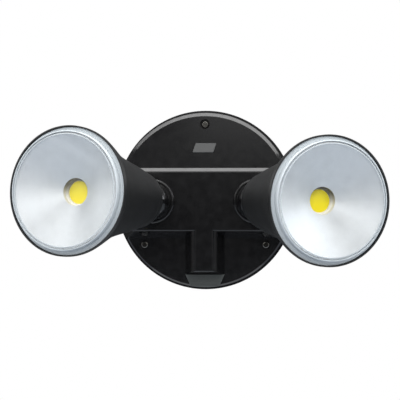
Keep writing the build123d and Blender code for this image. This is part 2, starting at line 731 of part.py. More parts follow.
def knuckle(frame):
    """Turning knuckle: hollow spigot, flange with a seal groove, and a slotted ball for the tilt joint."""
    spigot_end = SPIGOT_END_H - PIVOT_H
    bottom = FLANGE_BOTTOM_H - PIVOT_H
    top = FLANGE_TOP_H - PIVOT_H
    groove_r = SEAL_R - SEAL_SECTION_R
    groove_low = SEAL_H - PIVOT_H - SEAL_GROOVE_W / 2
    groove_high = groove_low + SEAL_GROOVE_W
    slot_half_w = TONGUE_HALF_W + SLOT_GAP
    slot_half_t = TONGUE_HALF_T + SLOT_GAP
    reach = 2 * BALL_R
    low, high = radians(TILT_MIN), radians(TILT_MAX)
    near = Vector(-cos(low), sin(low)) * slot_half_w
    far = Vector(cos(high), -sin(high)) * slot_half_w
    near_end = near + Vector(sin(low), cos(low)) * reach
    far_end = far + Vector(sin(high), cos(high)) * reach
    with BuildPart() as piece:
        with BuildSketch(frame.collar_side):
            with BuildLine():
                Polyline(
                    (0, spigot_end),
                    (SPIGOT_R, spigot_end),
                    (SPIGOT_R, bottom),
                    (FLANGE_R, bottom),
                    (FLANGE_R, groove_low),
                    (groove_r, groove_low),
                    (groove_r, groove_high),
                    (FLANGE_R, groove_high),
                    (FLANGE_R, top),
                    (sqrt(BALL_R**2 - top**2), top),
                )
                ThreePointArc((sqrt(BALL_R**2 - top**2), top), (BALL_R, 0), (0, BALL_R))
                Line((0, BALL_R), (0, spigot_end))
            make_face()
        revolve(axis=frame.collar_axis)
        with BuildSketch(frame.collar_side):
            Polygon(near, near_end, far_end, far, align=None)
            Circle(slot_half_w)
        extrude(amount=slot_half_t, both=True, mode=Mode.SUBTRACT)
        with BuildSketch(frame.collar(SPIGOT_END_H)):
            Circle(SPIGOT_BORE_R)
        extrude(amount=PIVOT_H - SPIGOT_END_H, mode=Mode.SUBTRACT)
        with BuildSketch(frame.collar_side):
            Circle(PIN_R + RUN_FIT)
        extrude(amount=BALL_R, both=True, mode=Mode.SUBTRACT)
        for end in (-1, 1):
            with BuildSketch(frame.collar_side.offset(end * PIN_SEAT)):
                Circle(PIN_HEAD_R + EASY_FIT)
            extrude(amount=end * BALL_R, mode=Mode.SUBTRACT)
    return piece


def knuckle_seal(frame):
    """Rubber ring in the flange's groove."""
    with BuildPart() as piece:
        with BuildSketch(frame.collar_side):
            with Locations((SEAL_R, SEAL_H - PIVOT_H)):
                Circle(SEAL_SECTION_R)
        revolve(axis=frame.collar_axis)
    return piece


def knuckle_washer(frame):
    """Friction washer between the cup's floor and the nut."""
    with BuildPart() as piece:
        with BuildSketch(frame.collar(NUT_TOP_H)):
            Circle(WASHER_R)
            Circle(SPIGOT_R + EASY_FIT, mode=Mode.SUBTRACT)
        extrude(amount=WASHER_T)
    return piece


def knuckle_nut(frame):
    """Hexagon nut that holds the knuckle in its collar from inside the base."""
    with BuildPart() as piece:
        with BuildSketch(frame.collar(NUT_TOP_H - NUT_T)):
            RegularPolygon(NUT_FLATS / 2, 6, major_radius=False)
            Circle(SPIGOT_R, mode=Mode.SUBTRACT)
        extrude(amount=NUT_T)
    return piece


def tilt_screws(frame):
    """Two shoulder screws, one from each side of the ball, that the head's tongue turns on."""
    with BuildPart() as piece:
        for end in (-1, 1):
            with BuildSketch(frame.collar_side.offset(end * PIN_BITE)):
                Circle(PIN_R)
            extrude(amount=end * (PIN_SEAT + SEAL_GAP - PIN_BITE))
            with BuildSketch(frame.collar_side.offset(end * (PIN_SEAT + SEAL_GAP))):
                Circle(PIN_HEAD_R)
            extrude(amount=end * PIN_HEAD_T)
            head_top = frame.collar_side.offset(end * (PIN_SEAT + SEAL_GAP + PIN_HEAD_T))
            extrude(cross_outline(head_top, [(0, 0)]), amount=-end * CROSS_DEPTH, mode=Mode.SUBTRACT)
    return piece


def head_shell(frame):
    """Bell-shaped head moulding with its tilt tongue, lens ledge and posts for the heat sink."""
    rear_inside = SHELL_REAR + SHELL_REAR_T
    post_foot = SINK_BACK - SINK_POST_LENGTH
    with BuildPart() as piece:
        revolve(shell_outline(frame.head_side, 0, SHELL_REAR, RIM - RIM_BAND, RIM_R), axis=frame.head_axis)
        revolve(
            shell_outline(frame.head_side, SHELL_T, rear_inside, SHELL_LEDGE, LEDGE_R),
            axis=frame.head_axis,
            mode=Mode.SUBTRACT,
        )
        with BuildSketch(frame.head(SHELL_LEDGE)):
            Circle(LENS_FLANGE_R + EASY_FIT)
        extrude(amount=RIM - SHELL_LEDGE, mode=Mode.SUBTRACT)
        with BuildSketch(frame.head(post_foot)):
            with PolarLocations(SINK_SCREW_CIRCLE_R, SINK_SCREWS):
                Circle(SINK_POST_R)
        extrude(amount=SINK_POST_LENGTH)
        with BuildSketch(frame.head(SINK_BACK)):
            with PolarLocations(SINK_SCREW_CIRCLE_R, SINK_SCREWS):
                Circle(SMALL_SCREW_R)
        extrude(amount=-SINK_SCREW_BITE, mode=Mode.SUBTRACT)
        with BuildSketch(frame.head_side):
            Circle(TONGUE_HALF_W)
            Rectangle(2 * TONGUE_HALF_W, SHELL_REAR + SHELL_REAR_T / 2, align=(Align.CENTER, Align.MIN))
        extrude(amount=TONGUE_HALF_T, both=True)
        with BuildSketch(frame.head(-2 * TONGUE_HALF_W)):
            Circle(LEAD_BORE_R)
        extrude(amount=2 * TONGUE_HALF_W + rear_inside, mode=Mode.SUBTRACT)
        for end in (-1, 1):
            with BuildSketch(frame.head_side.offset(end * PIN_BITE)):
                Circle(PIN_R)
            extrude(amount=end * TONGUE_HALF_T, mode=Mode.SUBTRACT)
    return piece


def heat_sink(frame):
    """Cast heat sink: a round plate that carries the light source, with a finned hub behind it."""
    with BuildPart() as piece:
        with BuildSketch(frame.head(SINK_BACK)):
            Circle(SINK_R)
        extrude(amount=SINK_T)
        with BuildSketch(frame.head(SINK_BACK)):
            Circle(SINK_HUB_R)
            with PolarLocations(0, SINK_FINS, start_angle=180 / SINK_FINS):
                Rectangle(SINK_FIN_R, SINK_FIN_T, align=(Align.MIN, Align.CENTER))
        extrude(amount=-SINK_FIN_LENGTH)
        with BuildSketch(frame.head(SINK_FACE)):
            with PolarLocations(SINK_SCREW_CIRCLE_R, SINK_SCREWS):
                Circle(SMALL_SCREW_R + SCREW_CLEARANCE)
            with Locations((LEAD_OFFSET, 0)):
                Circle(LEAD_BORE_R)
        extrude(amount=-SINK_T, mode=Mode.SUBTRACT)
        with BuildSketch(frame.head(SINK_FACE)):
            with Locations((0, BOARD_SCREW_CIRCLE_R), (0, -BOARD_SCREW_CIRCLE_R)):
                Circle(SMALL_SCREW_R)
        extrude(amount=-BOARD_SCREW_BITE, mode=Mode.SUBTRACT)
    return piece


def sink_screws(frame):
    """Screws that hold the heat sink on the shell's posts."""
    with BuildPart() as piece:
        with BuildSketch(frame.head(SINK_BACK - SINK_SCREW_BITE)):
            with PolarLocations(SINK_SCREW_CIRCLE_R, SINK_SCREWS):
                Circle(SMALL_SCREW_R)
        extrude(amount=SINK_T + SINK_SCREW_BITE)
        with BuildSketch(frame.head(SINK_FACE)):
            with PolarLocations(SINK_SCREW_CIRCLE_R, SINK_SCREWS):
                Circle(SMALL_HEAD_R)
        extrude(amount=SMALL_HEAD_T)
    return piece


def led_board(frame):
    """Round board of the light source, with a raised dam around the emitter."""
    with BuildPart() as piece:
        with BuildSketch(frame.head(SINK_FACE)):
            Circle(BOARD_R)
            with Locations((0, BOARD_SCREW_CIRCLE_R), (0, -BOARD_SCREW_CIRCLE_R)):
                Circle(SMALL_SCREW_R + SCREW_CLEARANCE, mode=Mode.SUBTRACT)
        extrude(amount=BOARD_T)
        with BuildSketch(frame.head(BOARD_FACE)):
            Circle(EMITTER_R + DAM_W)
            Circle(EMITTER_R, mode=Mode.SUBTRACT)
        extrude(amount=EMITTER_T)
    return piece


def led_emitter(frame):
    """Round phosphor disc of the light source."""
    with BuildPart() as piece:
        with BuildSketch(frame.head(BOARD_FACE)):
            Circle(EMITTER_R)
        extrude(amount=EMITTER_T)
    return piece


def board_screws(frame):
    """Two screws that hold the light source on the heat sink."""
    with BuildPart() as piece:
        with BuildSketch(frame.head(SINK_FACE - BOARD_SCREW_BITE)):
            with Locations((0, BOARD_SCREW_CIRCLE_R), (0, -BOARD_SCREW_CIRCLE_R)):
                Circle(SMALL_SCREW_R)
        extrude(amount=BOARD_SCREW_BITE + BOARD_T)
        with BuildSketch(frame.head(BOARD_FACE)):
            with Locations((0, BOARD_SCREW_CIRCLE_R), (0, -BOARD_SCREW_CIRCLE_R)):
                Circle(SMALL_HEAD_R)
        extrude(amount=SMALL_HEAD_T)
    return piece


def reflector(frame):
    """Conical reflector on a short neck that stands on the board around the emitter."""
    axial_t = REFLECTOR_T * sqrt(1 + (REFLECTOR_DEPTH / (REFLECTOR_R - REFLECTOR_HOLE_R)) ** 2)
    with BuildPart() as piece:
        with BuildSketch(frame.head_side):
            Polygon(
                (REFLECTOR_HOLE_R, BOARD_FACE),
                (REFLECTOR_HOLE_R, REFLECTOR_NECK),
                (REFLECTOR_R, REFLECTOR_RIM),
                (REFLECTOR_R + REFLECTOR_T, REFLECTOR_RIM),
                (REFLECTOR_R + REFLECTOR_T, REFLECTOR_RIM - axial_t),
                (REFLECTOR_HOLE_R + REFLECTOR_T, REFLECTOR_NECK - axial_t),
                (REFLECTOR_HOLE_R + REFLECTOR_T, BOARD_FACE),
                align=None,
            )
        revolve(axis=frame.head_axis)
    return piece


def lens_gasket(frame):
    """Silicone ring between the flange of the lens ring and the ledge of the shell."""
    with BuildPart() as piece:
        with BuildSketch(frame.head(SHELL_LEDGE)):
            Circle(LENS_FLANGE_R)
            Circle(LEDGE_R, mode=Mode.SUBTRACT)
        extrude(amount=LENS_GASKET_T)
    return piece


def lens_ring(frame):
    """Frosted stepped ring: a flange that the shell's rim holds and a wall with a seat for the clear disc."""
    flange_front = LENS_BACK + LENS_FLANGE_T
    with BuildPart() as piece:
        with BuildSketch(frame.head_side) as section:
            Polygon(
                (LENS_WALL_R, LENS_BACK),
                (LENS_FLANGE_R, LENS_BACK),
                (LENS_FLANGE_R, flange_front - LENS_FLANGE_SLANT),
                (LENS_STEP_R, flange_front),
                (LENS_STEP_R, LENS_FACE),
                (LENS_SEAT_R, LENS_FACE),
                (LENS_SEAT_R, LENS_INSIDE),
                (LENS_WALL_R, LENS_INSIDE),
                align=None,
            )
            flange_edge = section.vertices().group_by(Axis.X)[-1].sort_by(Axis.Y)[-1]
            step_edge = section.vertices().group_by(Axis.Y)[-1].sort_by(Axis.X)[-1]
            fillet([flange_edge, step_edge], radius=LENS_EDGE)
        revolve(axis=frame.head_axis)
    return piece


def lens_cover(frame):
    """Clear flat disc in the seat of the frosted ring."""
    with BuildPart() as piece:
        with BuildSketch(frame.head(LENS_INSIDE)):
            Circle(LENS_SEAT_R - SEAL_GAP)
        extrude(amount=LENS_T)
    return piece


def lead_gland(frame):
    """Rubber gland where the lead enters the shell from the tongue."""
    with BuildPart() as piece:
        with BuildSketch(frame.head(SHELL_REAR + SHELL_REAR_T)):
            Circle(GLAND_R)
            Circle(LEAD_R, mode=Mode.SUBTRACT)
        extrude(amount=GLAND_T)
    return piece


def head_lead(frame):
    """Lead inside the head: from the tongue's bore along the axis, then aside and through the heat sink."""
    lead_start = -TONGUE_HALF_W / 2
    with BuildPart() as piece:
        with BuildLine(frame.head_side) as route:
            FilletPolyline(
                (0, lead_start),
                (0, LEAD_LEAVES_AXIS),
                (LEAD_OFFSET, LEAD_MEETS_OFFSET),
                (LEAD_OFFSET, SINK_FACE),
                radius=LEAD_BEND_R,
            )
        with BuildSketch(frame.head(lead_start)):
            Circle(LEAD_R)
        sweep(path=route.line)
    return piece


def driver_lead(frame):
    """Lead inside the base: out of the driver's lid, then forward into the knuckle's hollow spigot."""
    start_x = frame.side * (DRIVER_HALF_X - DRIVER_WALL)
    start_plane = Plane((start_x, -DRIVER_LEAD_H, BAND_Z), x_dir=(0, 0, 1), z_dir=(frame.side, 0, 0))
    with BuildPart() as piece:
        with BuildLine(Plane((0, 0, BAND_Z), x_dir=(1, 0, 0), z_dir=(0, 0, -1))) as route:
            FilletPolyline(
                (start_x, DRIVER_LEAD_H),
                (frame.pivot.X, DRIVER_LEAD_H),
                (frame.pivot.X, DRIVER_LEAD_END_H),
                radius=DRIVER_LEAD_BEND_R,
            )
        with BuildSketch(start_plane):
            Circle(LEAD_R)
        sweep(path=route.line)
    return piece


HEAD_PIECES = (
    knuckle,
    knuckle_seal,
    knuckle_washer,
    knuckle_nut,
    tilt_screws,
    head_shell,
    heat_sink,
    sink_screws,
    led_board,
    led_emitter,
    board_screws,
    reflector,
    lens_gasket,
    lens_ring,
    lens_cover,
    lead_gland,
    head_lead,
    driver_lead,
)

for head_name, (side, pan, tilt) in HEADS.items():
    head_frame = HeadFrame(side, pan, tilt)
    for make_piece in HEAD_PIECES:
        write(make_piece(head_frame), f"{head_name}_{make_piece.__name__}")
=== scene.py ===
"""Finishes, fine surfaces and studio for a twin head floodlight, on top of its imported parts."""

from math import cos, radians, sin

import bpy
import numpy as np
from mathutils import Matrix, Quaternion, Vector


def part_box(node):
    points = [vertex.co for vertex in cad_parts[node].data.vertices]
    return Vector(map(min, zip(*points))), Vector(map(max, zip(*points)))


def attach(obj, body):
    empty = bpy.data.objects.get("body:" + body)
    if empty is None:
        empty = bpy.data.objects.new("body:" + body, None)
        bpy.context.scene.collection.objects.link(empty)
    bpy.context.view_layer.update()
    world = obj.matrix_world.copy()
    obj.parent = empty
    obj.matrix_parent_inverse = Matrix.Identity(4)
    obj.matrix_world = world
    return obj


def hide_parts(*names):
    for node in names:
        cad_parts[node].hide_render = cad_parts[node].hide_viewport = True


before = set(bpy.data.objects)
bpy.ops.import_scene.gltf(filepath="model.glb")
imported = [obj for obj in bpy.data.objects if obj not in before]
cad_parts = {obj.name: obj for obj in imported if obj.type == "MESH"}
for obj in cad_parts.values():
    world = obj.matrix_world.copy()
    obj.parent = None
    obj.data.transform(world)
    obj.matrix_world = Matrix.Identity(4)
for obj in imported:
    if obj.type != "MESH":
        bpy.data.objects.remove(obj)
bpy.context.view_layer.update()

bl_info = {
    "name": "Twin head floodlight",
    "version": (1, 0, 0),
    "blender": (4, 5, 0),
    "location": "3D View > Sidebar > Floodlight",
    "description": "Dresses the packed parts of a wall floodlight and sets it in a studio",
    "category": "Object",
}

SIDES = ("left", "right")

# Sizes of the parts that the fine pieces sit on, in metres
EMITTER_T = 0.0008  # thickness of the flat emitter
LENS_HALF_T = 0.00075  # half the thickness of the lens
NECK_R = 0.0103  # radius of the reflector's neck
NECK_TOP = 0.0064  # far end of the neck, from the emitter's middle

# The ring that clamps an emitter, in metres; heights are along the head from the emitter's middle
HOLDER_GAP = 0.00005  # to the board, the neck and the emitter
HOLDER_LIP = 0.00012  # width of its upper edge
HOLDER_SEAT = 0.0026  # height of its seat at the upper wall
HOLDER_STEP = 0.0019  # height of its seat at the inner edge

# The reflector's bead and the lens's rib, in metres
BEAD_GAP = 0.00015  # from the bead to the lens
RIB_R = 0.0412  # radius of the rib's middle line
RIB_H = 0.0003  # height of the rib over the lens
RIB_GAP = 0.00002  # from the rib's foot to the lens

# Points once round a small and a large piece, and along each curved profile
ROUND = 96
ROUND_LARGE = 192
BEAD_POINTS = 16
RIB_POINTS = 9
DOME_POINTS = 24
# Edges sharper than this stay crisp
SHARP_EDGE = radians(40.0)

# Sockets that the Mix node tells apart by number alone
MIX_BY = 0
COLOUR_A, COLOUR_B, COLOUR_OUT = 6, 7, 2
NUMBER_A, NUMBER_B, NUMBER_OUT = 2, 3, 0

# Noise patterns: the mottle of a tone, the grain of a surface and the scuffs on metal
MOTTLE = {"Detail": 3.0, "Roughness": 0.55}
GRAIN = {"Detail": 2.0, "Roughness": 0.5}
SCUFFS = {"Detail": 4.0, "Roughness": 0.6}
# Values that such a pattern keeps between, nearly everywhere
NOISE_SPAN = {"From Min": 0.3, "From Max": 0.7}
# Tones of plated metal under its scuffs, from the deepest to the palest
SCUFF_TONES = (0.86, 1.06)
PLASTIC_IOR = 1.53
POLYCARBONATE_IOR = 1.585
SILICONE_IOR = 1.41

# The holder: the heights that its painted shade darkens between, its grain and relief in mm, and the
# roughness that its grain moves between
PAINTED_SHADE_SPAN = {"From Min": -0.45, "From Max": 0.65}
HOLDER_GRAIN = 0.8
HOLDER_RELIEF = 0.01
HOLDER_GLOSS = {"To Min": 0.45, "To Max": 0.65}
# The lens's haze: its width in mm, and the roughness that it moves between
HAZE = 14.0
HAZE_GLOSS = {"To Min": 0.02, "To Max": 0.06}

# What glossy faces mirror. The dark gap in front, which the base's flat faces show to the camera, by
# closeness to this direction
GAP_DIRECTION = (-0.05, -0.99875, 0.0)
FRONT_GAP = {"From Min": 0.988, "From Max": 0.998, "To Min": 1.0, "To Max": 0.2}
# The unlit room behind, by Y
BEHIND = {"From Min": 0.5, "From Max": 0.95, "To Min": 1.0, "To Max": 0.15}
# The dark below the horizon, by Z
BELOW = {"From Min": 0.0, "From Max": 0.06, "To Min": 0.1, "To Max": 1.0}
# The room's tone from the horizon up, by Z
ROOM_TONE = {"From Min": 0.0, "From Max": 0.65, "To Min": 1.55, "To Max": 0.1}
# The light that dull faces get from below and from above, by Z
FILL = {"From Min": -1.0, "From Max": 1.0, "To Min": 0.3, "To Max": 1.7}
WHITE = (1.0, 1.0, 1.0, 1.0)

# The floor, in metres: half its width, its front and back edges, and points along a side
FLOOR_HALF = 3.0
FLOOR_FRONT, FLOOR_BACK = -3.0, 0.2
FLOOR_POINTS = 9
SENSOR_MM = 36.0

# Name, place, target, width and height in metres, watts, tint, and roll in degrees if it isn't level
LAMPS = (
    # The main light, from above
    ("overhead_softbox", (0.15, -0.38, 1.0), (0.15, -0.38, 0.0), (2.6, 0.96), 15.0, "#ffffff"),
    # Bright bands along the base's rim and the ridge of its block
    ("rim_strip", (0.0, 0.25, 0.9), (0.0, 0.0, 0.0), (1.7, 0.16), 3.6, "#ffffff"),
    ("ridge_strip", (0.0, -0.03, 0.9), (0.0, -0.03, 0.0), (0.6, 0.14), 1.0, "#ffffff"),
    # Soft light from the front, and a sheen on the sloped face
    ("front_softbox", (-0.05, -1.45, 0.62), (0.0, -0.1, 0.0), (0.7, 0.35), 2.4, "#ffffff"),
    ("slope_softbox", (0.05, -0.99, 0.97), (0.04, -0.03, 0.04), (0.3, 0.14), 0.1, "#ffffff"),
    # Edges of light on both sides and from below
    ("right_strip", (1.0, -0.1, 0.45), (0.0, -0.08, 0.0), (0.25, 0.7), 2.0, "#f4f8ff"),
    ("left_strip", (-1.0, 0.0, 0.35), (0.0, -0.08, 0.0), (0.12, 0.7), 0.5, "#ffffff"),
    ("floor_strip", (0.0, -0.02, -0.3), (0.0, -0.02, 0.0), (0.5, 0.1), 0.14, "#ffffff"),
    # A faint slanting streak in the left lens
    ("left_glint", (-1.252, -1.104, 0.236), (-0.09, -0.176, 0.037), (0.11, 0.014), 0.0058, "#ffffff", -26.5),
)


def linear(colour):
    """Linear RGB of an sRGB hex colour."""
    srgb = np.array([int(colour[i : i + 2], 16) for i in (1, 3, 5)]) / 255
    return tuple(np.where(srgb <= 0.04045, srgb / 12.92, ((srgb + 0.055) / 1.055) ** 2.4))


def colour_property(name, description, colour):
    """A colour of the panel, given as sRGB hex."""
    return bpy.props.FloatVectorProperty(
        name=name,
        description=description,
        subtype="COLOR",
        size=3,
        min=0.0,
        max=1.0,
        default=linear(colour),
    )


class FloodlightColours(bpy.types.PropertyGroup):
    """Colours of the finishes that show from outside."""

    base: colour_property("Base", "Glossy cover and knuckles", "#0d0d0e")
    shell: colour_property("Heads", "Satin head shells", "#171819")
    plate: colour_property("Back plate", "Matte plate on the wall", "#1c1c1d")
    badge: colour_property("Badge", "Bare plate on the sloped face", "#444545")
    port: colour_property("Port cover", "Ribbed cover at the foot", "#464a48")
    phosphor: colour_property("Emitter", "Phosphor of the light source", "#f9e60a")
    holder: colour_property("Emitter holder", "Stepped ring that clamps the emitter", "#f1efe8")
    # The holder's painted shade: the dull brown arc at its top
    painted_shade: colour_property("Painted holder shade", "Shade painted at the top of that ring", "#5f5a4a")
    silver: colour_property("Reflector", "Metallised cone", "#ecf0f2")
    ring: colour_property("Lens ring", "Frosted ring around the lens", "#c4cbcf")
    edge: colour_property("Reflector rim", "Polished rim of the metallised cone", "#f4f7f9")
    rib: colour_property("Lens rib", "Frosted rib round the edge of the lens", "#b9c0c4")
    silicone: colour_property("Lens gasket", "Silicone ring behind the lens", "#e6e9ec")


class FloodlightSizes(bpy.types.PropertyGroup):
    """Sizes of the fine pieces."""

    dome: bpy.props.FloatProperty(
        name="Phosphor dome",
        description="Rise of the cast phosphor over its dam",
        default=0.00035,
        unit="LENGTH",
    )
    bead: bpy.props.FloatProperty(
        name="Reflector bead",
        description="Radius of the rolled rim of the reflector",
        default=0.0005,
        unit="LENGTH",
    )
    rib: bpy.props.FloatProperty(
        name="Lens rib",
        description="Half the width of the rib round the lens",
        default=0.0005,
        unit="LENGTH",
    )


class FloodlightStudio(bpy.types.PropertyGroup):
    """Camera and floor."""

    distance: bpy.props.FloatProperty(
        name="Camera distance", description="From the wall mount", default=1.2, min=0.3, unit="LENGTH"
    )
    turn: bpy.props.FloatProperty(
        name="Camera turn",
        description="To the right of straight ahead",
        default=radians(2.9),
        subtype="ANGLE",
    )
    lens: bpy.props.FloatProperty(
        name="Focal length", description="On a 36 mm sensor", default=128.1, min=10.0, unit="CAMERA"
    )
    aim: bpy.props.FloatProperty(
        name="Aim",
        description="How far left of the base's middle the camera aims",
        default=0.0049,
        unit="LENGTH",
    )
    floor_drop: bpy.props.FloatProperty(
        name="Floor",
        description="Height of the base's middle over the floor",
        default=0.32,
        unit="LENGTH",
    )


class FloodlightSettings(bpy.types.PropertyGroup):
    """Everything that the panel shows."""

    colours: bpy.props.PointerProperty(type=FloodlightColours)
    sizes: bpy.props.PointerProperty(type=FloodlightSizes)
    studio: bpy.props.PointerProperty(type=FloodlightStudio)


def add_node(tree, kind, inputs=None, **settings):
    """Adds a node, applies its settings, and sets or links each input that is named."""
    made = tree.nodes.new(kind)
    for name, value in settings.items():
        setattr(made, name, value)
    for name, value in (inputs or {}).items():
        if isinstance(value, bpy.types.NodeSocket):
            tree.links.new(value, made.inputs[name])
        else:
            made.inputs[name].default_value = value
    return made


def start_material(name):
    """New material with an empty tree; returns it, its tree and its Object coordinates."""
    made = bpy.data.materials.new(name)
    made.use_nodes = True
    made.node_tree.nodes.clear()
    return made, made.node_tree, add_node(made.node_tree, "ShaderNodeTexCoord").outputs["Object"]


def surface(tree, inputs):
    """Ends a tree in a Principled surface with these inputs."""
    shader = add_node(tree, "ShaderNodeBsdfPrincipled", inputs)
    add_node(tree, "ShaderNodeOutputMaterial", {"Surface": shader.outputs["BSDF"]})


def per_mm(size):
    """Scale of a pattern on coordinates in metres whose features are this many millimetres wide."""
    return 1000.0 / size


def metres(size):
    """A size in millimetres, in metres."""
    return size / 1000


def rgba(colour, factor=1.0):
    """Linear colour times a factor, with alpha."""
    return (*(np.array(colour) * factor), 1.0)


def moulded(name, colour, spread, mottle, roughness, grain, relief, ior=PLASTIC_IOR):
    """Moulded plastic or rubber: mottled in tone, with a grain that moves the gloss and the relief.

    The tone varies by spread over mottle mm. The grain is so many mm wide with relief in mm, and roughness
    is the pair of values that it moves between. A grain that is finer on the real surface is drawn about
    1 mm wide, so that it shows in the render.
    """
    made, tree, coords = start_material(name)
    clouds = add_node(
        tree, "ShaderNodeTexNoise", {"Vector": coords, "Scale": per_mm(mottle), **MOTTLE}
    )
    tone = add_node(
        tree,
        "ShaderNodeMix",
        {
            MIX_BY: clouds.outputs["Fac"],
            COLOUR_A: rgba(colour, 1 - spread),
            COLOUR_B: rgba(colour, 1 + spread),
        },
        data_type="RGBA",
    )
    texture = add_node(
        tree, "ShaderNodeTexNoise", {"Vector": coords, "Scale": per_mm(grain), **GRAIN}
    )
    smooth, rough = roughness
    gloss = add_node(
        tree,
        "ShaderNodeMapRange",
        {"Value": texture.outputs["Fac"], **NOISE_SPAN, "To Min": smooth, "To Max": rough},
    )
    bump = add_node(
        tree,
        "ShaderNodeBump",
        {"Height": texture.outputs["Fac"], "Distance": metres(relief), "Strength": 1.0},
    )
    surface(
        tree,
        {
            "Base Color": tone.outputs[COLOUR_OUT],
            "Roughness": gloss.outputs["Result"],
            "IOR": ior,
            "Normal": bump.outputs["Normal"],
        },
    )
    return made


def plated(name, colour, roughness, grain, relief):
    """Bare, plated or metallised metal, with scuffs that move its tone, its gloss and its relief.

    The scuffs are grain mm wide with relief in mm, and roughness is the pair of values that they move
    between. Scuffs that are finer on the real surface are drawn about 1 mm wide, so that they show.
    """
    made, tree, coords = start_material(name)
    scuffs = add_node(
        tree, "ShaderNodeTexNoise", {"Vector": coords, "Scale": per_mm(grain), **SCUFFS}
    )
    deep, pale = SCUFF_TONES
    tone = add_node(
        tree,
        "ShaderNodeMix",
        {MIX_BY: scuffs.outputs["Fac"], COLOUR_A: rgba(colour, deep), COLOUR_B: rgba(colour, pale)},
        data_type="RGBA",
    )
    smooth, rough = roughness
    gloss = add_node(
        tree,
        "ShaderNodeMapRange",
        {"Value": scuffs.outputs["Fac"], **NOISE_SPAN, "To Min": smooth, "To Max": rough},
    )
    bump = add_node(
        tree,
        "ShaderNodeBump",
        {"Height": scuffs.outputs["Fac"], "Distance": metres(relief), "Strength": 1.0},
    )
    surface(
        tree,
        {
            "Base Color": tone.outputs[COLOUR_OUT],
            "Metallic": 1.0,
            "Roughness": gloss.outputs["Result"],
            "Normal": bump.outputs["Normal"],
        },
    )
    return made


def clear_polycarbonate():
    """Clear polycarbonate, polished: where a ray enters, the Fresnel share mirrors and the rest passes."""
    made, tree, coords = start_material("polycarbonate_clear_polished")
    haze = add_node(tree, "ShaderNodeTexNoise", {"Vector": coords, "Scale": per_mm(HAZE), **GRAIN})
    gloss = add_node(tree, "ShaderNodeMapRange", {"Value": haze.outputs["Fac"], **HAZE_GLOSS})
    mirror = add_node(tree, "ShaderNodeFresnel", {"IOR": POLYCARBONATE_IOR})
    leaving = add_node(tree, "ShaderNodeNewGeometry").outputs["Backfacing"]
    entering = add_node(
        tree,
        "ShaderNodeMath",
        {0: mirror.outputs["Fac"], 1: leaving},
        operation="SUBTRACT",
        use_clamp=True,
    )
    surface(
        tree,
        {
            "Base Color": rgba(linear("#f4f8fb")),
            "Metallic": 1.0,
            "Roughness": gloss.outputs["Result"],
            "Alpha": entering.outputs[0],
        },
    )
    return made


def nylon_with_painted_shade(cool, painted_shade):
    """White nylon, moulded, with shade painted into its colour as a dull brown arc at the top.

    The tone goes from cool to the painted shade by the piece's own height attribute, from about -1 to 1.
    """
    made, tree, coords = start_material("nylon_moulded_painted_shade")
    height = add_node(tree, "ShaderNodeAttribute", attribute_name="height").outputs["Fac"]
    # Painted shade: the tone darkens towards the top of the holder, by its height
    heat = add_node(
        tree,
        "ShaderNodeMapRange",
        {"Value": height, **PAINTED_SHADE_SPAN},
        interpolation_type="SMOOTHSTEP",
    )
    tone = add_node(
        tree,
        "ShaderNodeMix",
        {MIX_BY: heat.outputs["Result"], COLOUR_A: rgba(cool), COLOUR_B: rgba(painted_shade)},
        data_type="RGBA",
    )
    texture = add_node(
        tree, "ShaderNodeTexNoise", {"Vector": coords, "Scale": per_mm(HOLDER_GRAIN), **GRAIN}
    )
    gloss = add_node(tree, "ShaderNodeMapRange", {"Value": texture.outputs["Fac"], **HOLDER_GLOSS})
    bump = add_node(
        tree,
        "ShaderNodeBump",
        {"Height": texture.outputs["Fac"], "Distance": metres(HOLDER_RELIEF), "Strength": 1.0},
    )
    surface(
        tree,
        {
            "Base Color": tone.outputs[COLOUR_OUT],
            "Roughness": gloss.outputs["Result"],
            "IOR": PLASTIC_IOR,
            "Normal": bump.outputs["Normal"],
        },
    )
    return made


def lathe(name, profile, centre, axis, around=ROUND):
    """Closed surface of revolution: each profile point (radius, distance along the axis) goes once round.

    A point on ring i at angle a is centre + axis * s_i + r_i * (u cos a + v sin a), with u and v across the
    axis. A profile that starts and ends on the axis closes in two poles; any other one closes on itself.
    """
    axis = np.asarray(axis) / np.linalg.norm(axis)
    u = np.cross(axis, (0.0, 0.0, 1.0))
    u = u / np.linalg.norm(u)
    v = np.cross(axis, u)
    profile = np.asarray(profile, dtype=float)
    poles = profile[0, 0] == 0.0
    rings = profile[1:-1] if poles else profile
    angle = np.linspace(0.0, 2 * np.pi, around, endpoint=False)
    across = np.cos(angle)[:, None] * u + np.sin(angle)[:, None] * v
    points = centre + rings[:, 1, None, None] * axis + rings[:, 0, None, None] * across
    points = points.reshape(-1, 3)
    count = len(rings)
    index = np.arange(count * around).reshape(count, around)
    turned = np.roll(index, -1, axis=1)
    ahead = np.roll(index, -1, axis=0)
    ahead_turned = np.roll(turned, -1, axis=0)
    quads = np.stack([index, turned, ahead_turned, ahead], -1)
    faces = (quads[:-1] if poles else quads).reshape(-1, 4).tolist()
    if poles:
        ends = centre + profile[[0, -1], 1, None] * axis
        first, last = len(points), len(points) + 1
        points = np.concatenate([points, ends])
        faces += np.stack([np.full(around, first), turned[0], index[0]], -1).tolist()
        faces += np.stack([np.full(around, last), index[-1], turned[-1]], -1).tolist()
    mesh = bpy.data.meshes.new(name)
    mesh.from_pydata(points.tolist(), [], faces)
    mesh.polygons.foreach_set("use_smooth", np.ones(len(faces), dtype=bool))
    mesh.set_sharp_from_angle(angle=SHARP_EDGE)
    piece = bpy.data.objects.new(name, mesh)
    bpy.context.scene.collection.objects.link(piece)
    return piece


def middle(node):
    """Middle of a node's box, which for a round piece is on its axis."""
    low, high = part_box(node)
    return (np.array(low) + np.array(high)) / 2


def head_axis(side):
    """Direction that a head shines in."""
    along = middle(f"{side}_lens_cover") - middle(f"{side}_led_emitter")
    return along / np.linalg.norm(along)


